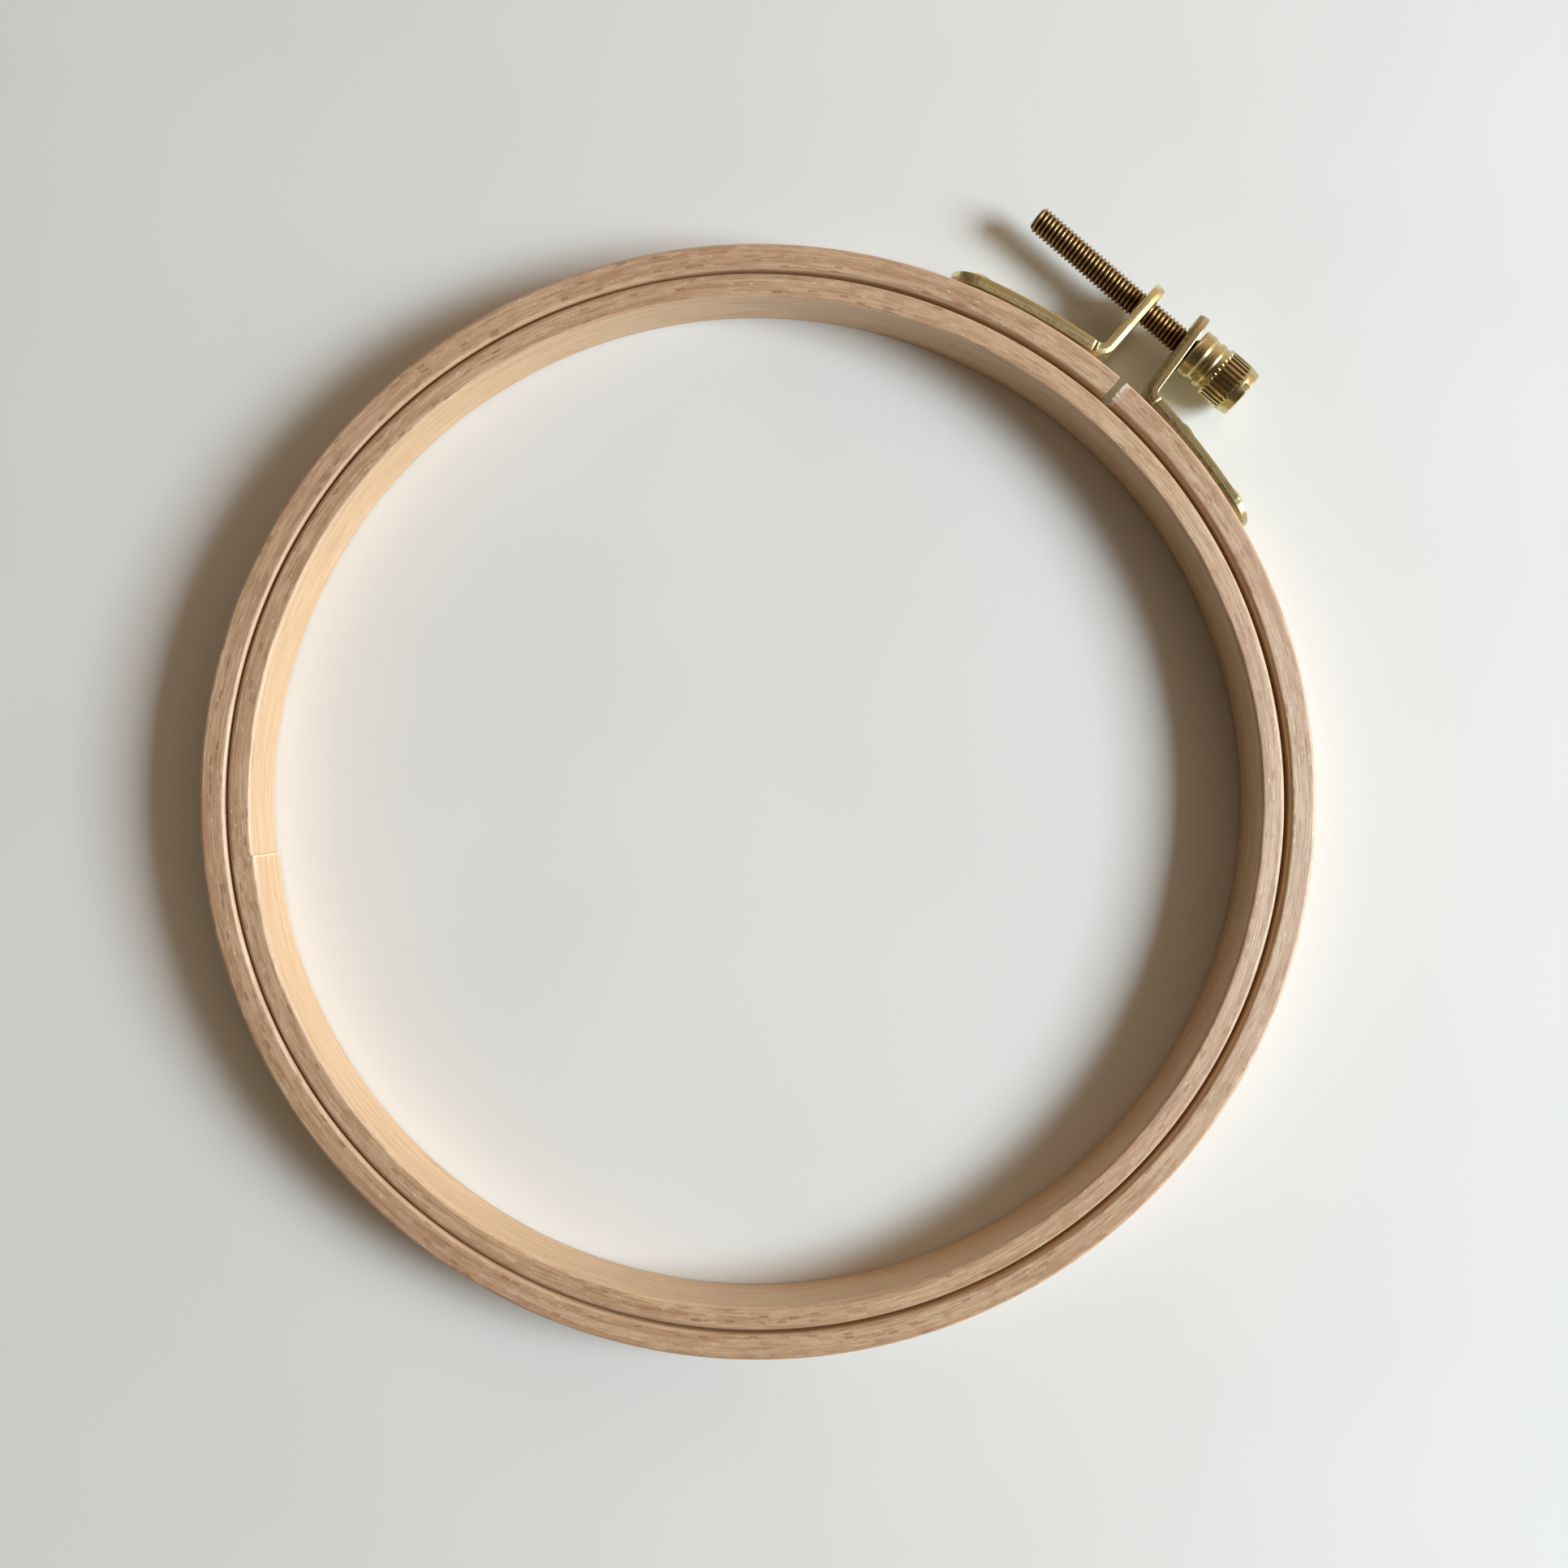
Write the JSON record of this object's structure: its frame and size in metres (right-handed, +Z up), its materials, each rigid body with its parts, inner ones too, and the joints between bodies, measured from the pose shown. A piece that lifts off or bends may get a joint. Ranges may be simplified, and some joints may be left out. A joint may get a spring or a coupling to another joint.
{
  "type": "embroidery hoop",
  "caption": "Round wooden embroidery hoop: a split outer ring with riveted brass ears and a knurled clamp screw, round a loose inner ring.",
  "frame": {"origin": "middle of the bounding box, on the plane that the hoop lies on", "axes": "+Z up through both rings, +Y towards the split and the clamp screw, +X towards the screw's head"},
  "size_m": [0.16, 0.1763, 0.01],
  "materials": {
    "outer_wood": "bare steamed beech, sanded, fine lengthwise streaks",
    "inner_wood": "bare steamed beech, sanded, fine lengthwise streaks",
    "bracket_brass": "brass-plated strip with sheared edges",
    "rivet_brass": "brass-plated domed heads",
    "screw_brass": "darkened threads with bright crests",
    "head_brass": "turned and straight-grooved, satin"
  },
  "bodies": {
    "hoop_left": {"outer_hoop_left": "outer_wood", "tapped_bracket": "bracket_brass", "left_rivet_1": "rivet_brass", "left_rivet_2": "rivet_brass"},
    "hoop_right": {"outer_hoop_right": "outer_wood", "plain_bracket": "bracket_brass", "right_rivet_1": "rivet_brass", "right_rivet_2": "rivet_brass"},
    "inner_hoop": {"inner_hoop": "inner_wood"},
    "clamp_screw": {"screw_rod": "screw_brass", "screw_head": "head_brass"}
  },
  "joints": [
    {"name": "hoop_flex", "type": "hinge", "parent": "hoop_left", "child": "hoop_right", "pos_m": [0, -0.08625, 0.005], "axis": [0, 0, 1], "range_deg": [-1.89, 0.35]},
    {"name": "screw_spin", "type": "hinge", "parent": "hoop_right", "child": "clamp_screw", "pos_m": [0, 0.08325, 0.005], "axis": [-1, 0, 0], "range_deg": [-2880, 540]},
    {"name": "inner_slide", "type": "slide", "parent": "hoop_left", "child": "inner_hoop", "axis": [0, 0, 1], "range_m": [0, 0.02]}
  ],
  "couplings": [
    {"joint": "screw_spin", "follows": "hoop_flex", "ratio": 1521.4}
  ]
}
